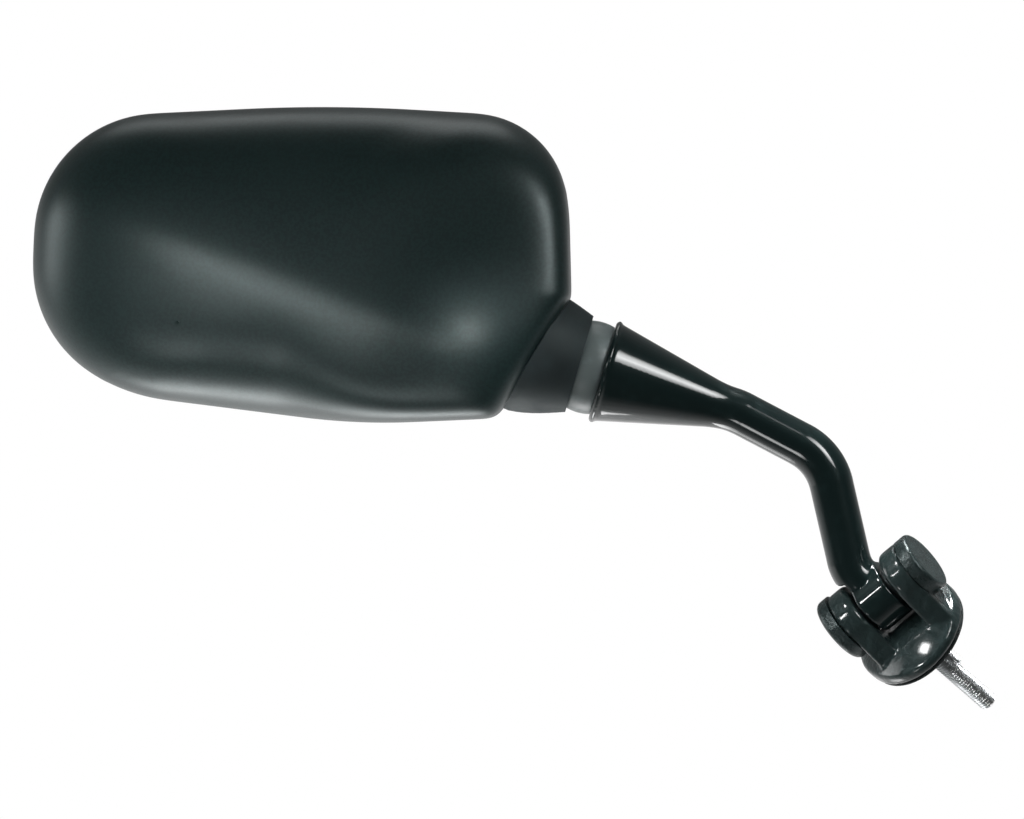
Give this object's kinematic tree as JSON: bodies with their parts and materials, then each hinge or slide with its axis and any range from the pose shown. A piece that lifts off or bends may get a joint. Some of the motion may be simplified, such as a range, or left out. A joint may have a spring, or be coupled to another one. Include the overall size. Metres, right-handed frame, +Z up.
{
  "type": "motorcycle mirror",
  "caption": "Right-hand fairing mirror: a deep moulded head on a ball joint, a cranked cast arm that folds, and a forked base on threaded studs.",
  "frame": {"origin": "centre of the mounting face, under the gasket, midway between the two studs", "axes": "+Z up on the bike, +X from the head to the foot, +Y toward the rider, the way the glass faces"},
  "size_m": [0.301, 0.065, 0.1883],
  "materials": {
    "shell_plastic": "matt, fine spark-eroded grain",
    "boot_rubber": "matt moulded rubber",
    "housing_plastic": "glass-filled nylon, moulded",
    "zinc_steel": "bright zinc plate",
    "nylon": "natural nylon",
    "spring_steel": "oiled spring steel",
    "carrier_plastic": "matt moulding",
    "foam": "closed-cell foam tape",
    "mirror_glass": "silvered behind clear glass",
    "gloss_black_casting": "gloss black paint",
    "satin_black_ring": "satin black",
    "black_casting": "semi-gloss black paint",
    "gasket_rubber": "matt rubber",
    "cap_plastic": "semi-gloss side, rough face"
  },
  "bodies": {
    "base": {"base": "black_casting", "base_gasket": "gasket_rubber", "front_stud": "zinc_steel", "rear_stud": "zinc_steel", "pivot_bolt": "zinc_steel", "pivot_nut": "zinc_steel", "wave_washer": "spring_steel", "upper_end_cap": "cap_plastic", "lower_end_cap": "cap_plastic"},
    "arm": {"arm": "gloss_black_casting", "swivel_ring": "satin_black_ring", "ball_stud": "zinc_steel", "upper_bush": "nylon", "lower_bush": "nylon"},
    "outer_seat": {"outer_ball_seat": "nylon"},
    "inner_seat": {"inner_ball_seat": "nylon"},
    "head": {"shell": "shell_plastic", "neck_boot": "boot_rubber", "ball_housing": "housing_plastic", "housing_screws": "zinc_steel", "pressure_cup": "nylon", "clamp_spring": "spring_steel", "spring_retainer": "zinc_steel", "glass_carrier": "carrier_plastic", "carrier_screws": "zinc_steel", "glass_pad": "foam", "mirror_glass": "mirror_glass"}
  },
  "joints": [
    {"name": "arm_fold", "type": "hinge", "parent": "base", "child": "arm", "pos_m": [-0.0117, -0.01, 0.01296], "axis": [0.7373, -0.2676, 0.6203], "range_deg": [-50, 60]},
    {"name": "head_twist", "type": "hinge", "parent": "arm", "child": "outer_seat", "pos_m": [-0.10255, -0.01, 0.08418], "axis": [-0.9588, 0, 0.284], "range_deg": [-15, 15]},
    {"name": "head_pan", "type": "hinge", "parent": "outer_seat", "child": "inner_seat", "pos_m": [-0.10255, -0.01, 0.08418], "axis": [0.284, 0, 0.9588], "range_deg": [-9, 9]},
    {"name": "head_roll", "type": "hinge", "parent": "inner_seat", "child": "head", "pos_m": [-0.10255, -0.01, 0.08418], "axis": [0, 1, 0], "range_deg": [-5, 5]}
  ]
}
